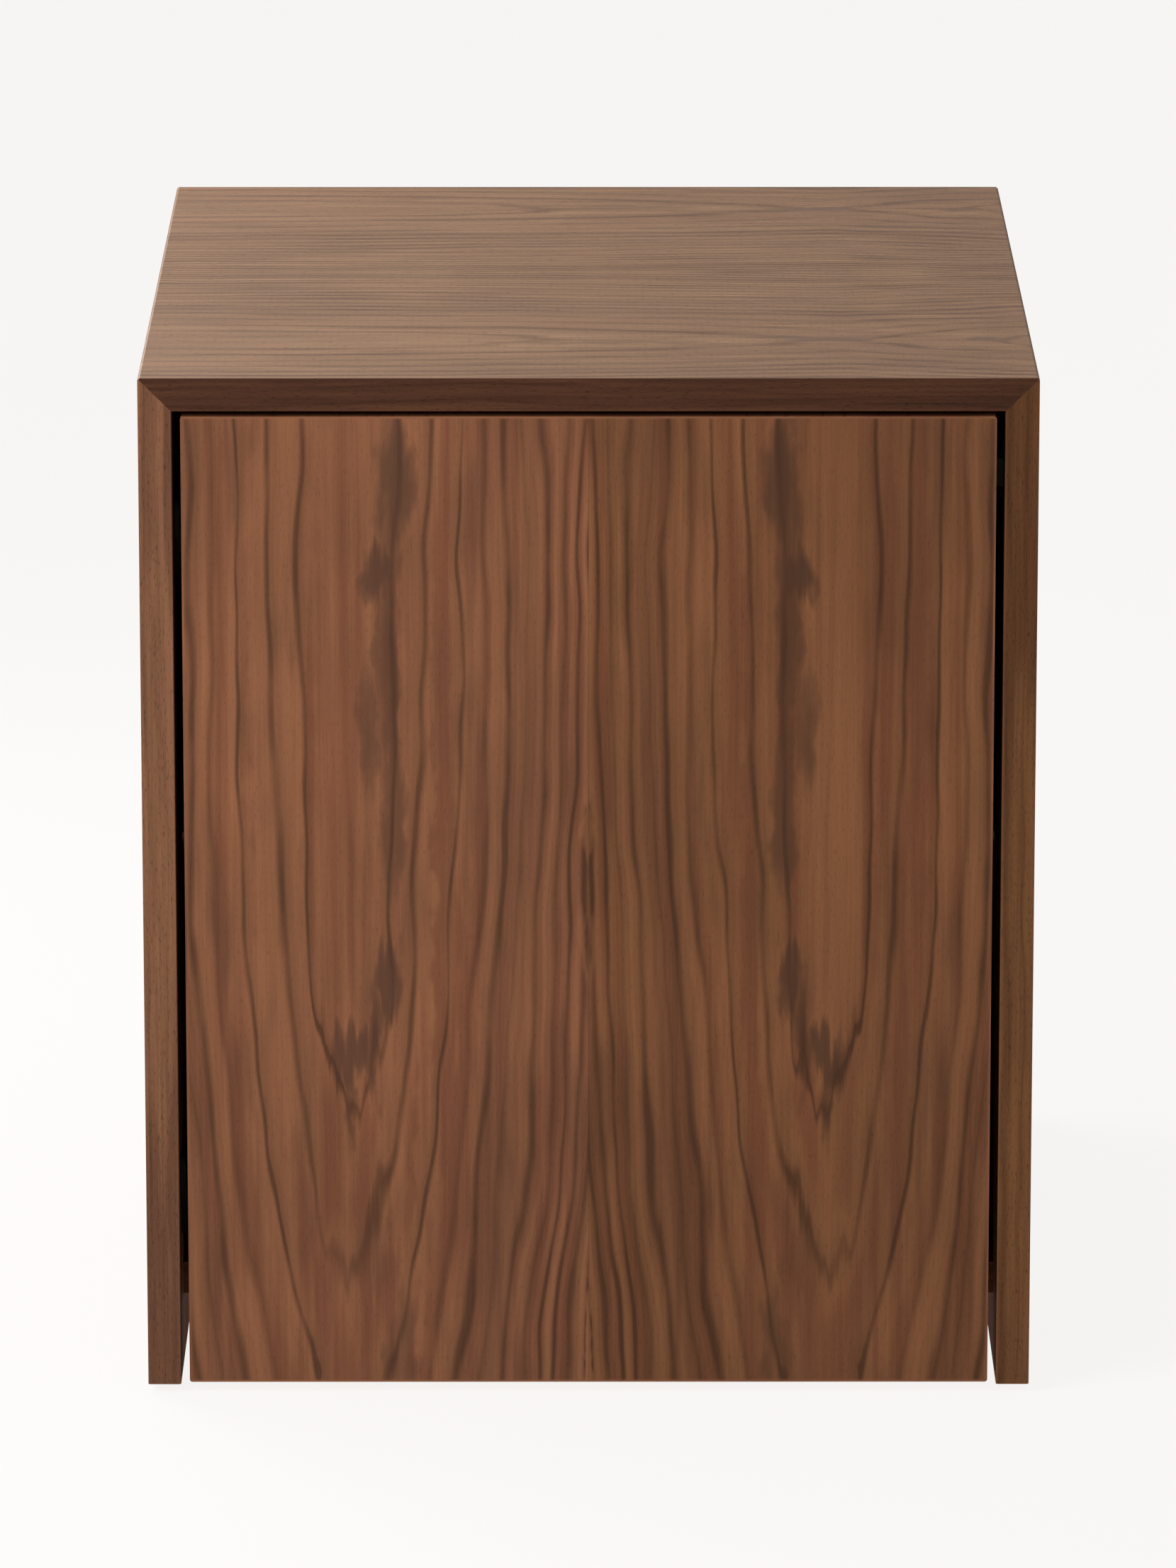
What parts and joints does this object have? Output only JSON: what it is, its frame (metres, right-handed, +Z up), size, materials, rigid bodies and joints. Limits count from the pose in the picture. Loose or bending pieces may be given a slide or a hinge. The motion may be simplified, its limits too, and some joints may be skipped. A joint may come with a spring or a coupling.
{
  "type": "cube storage unit",
  "caption": "Walnut-veneered cube storage unit: mitred case on low glides with a shelf behind an inset, handle-less push-to-open door.",
  "frame": {"origin": "on the floor, under the middle of the case's width and depth", "axes": "+X to the right seen from the front, +Y from the door towards the back panel, +Z up"},
  "size_m": [0.51, 0.58, 0.6],
  "materials": {
    "walnut_veneer": "satin oiled walnut veneer on board",
    "walnut_inside": "satin walnut veneer, plain cut",
    "walnut_band": "solid walnut edge band",
    "beech": "raw beech",
    "zinc_steel": "zinc plated steel",
    "black_steel": "black burnished steel",
    "black_plastic": "moulded acetal",
    "glide_nylon": "moulded nylon",
    "magnet": "nickel plated magnet"
  },
  "bodies": {
    "case": {"top_panel": "walnut_veneer", "left_side_panel": "walnut_veneer", "right_side_panel": "walnut_veneer", "bottom_panel": "walnut_inside", "back_panel": "walnut_inside", "shelf": "walnut_inside", "front_top_band": "walnut_band", "front_left_band": "walnut_band", "front_right_band": "walnut_band", "rear_top_band": "walnut_band", "rear_left_band": "walnut_band", "rear_right_band": "walnut_band", "bottom_front_band": "walnut_band", "shelf_front_band": "walnut_band", "mitre_splines": "beech", "bottom_dowels": "beech", "cam_bolts": "zinc_steel", "cam_discs": "zinc_steel", "back_screws": "zinc_steel", "shelf_pins": "zinc_steel", "floor_glides": "glide_nylon", "glide_nails": "zinc_steel", "upper_hinge_bracket": "black_steel", "lower_hinge_bracket": "black_steel", "hinge_bracket_screws": "black_steel", "latch_housing": "black_plastic", "latch_screws": "black_steel", "latch_spring": "zinc_steel"},
    "door": {"door_panel": "walnut_veneer", "door_top_band": "walnut_band", "door_bottom_band": "walnut_band", "door_left_band": "walnut_band", "door_right_band": "walnut_band", "upper_hinge_block": "black_steel", "lower_hinge_block": "black_steel", "upper_hinge_pin": "zinc_steel", "lower_hinge_pin": "zinc_steel", "hinge_washers": "glide_nylon", "hinge_block_screws": "black_steel", "strike_plate": "zinc_steel", "strike_screw": "zinc_steel"},
    "latch": {"latch_plunger": "black_plastic", "latch_magnet": "magnet"}
  },
  "joints": [
    {"name": "door_swing", "type": "hinge", "parent": "case", "child": "door", "pos_m": [-0.222, -0.2795, 0], "axis": [0, 0, -1], "range_deg": [0, 105]},
    {"name": "latch_plunger_slide", "type": "slide", "parent": "case", "child": "latch", "axis": [0, -1, 0], "range_m": [0, 0.014], "deforming": ["latch_spring"]}
  ],
  "couplings": [
    {"joint": "latch_plunger_slide", "follows": "door_swing", "m_per_rad": 0.0076}
  ]
}
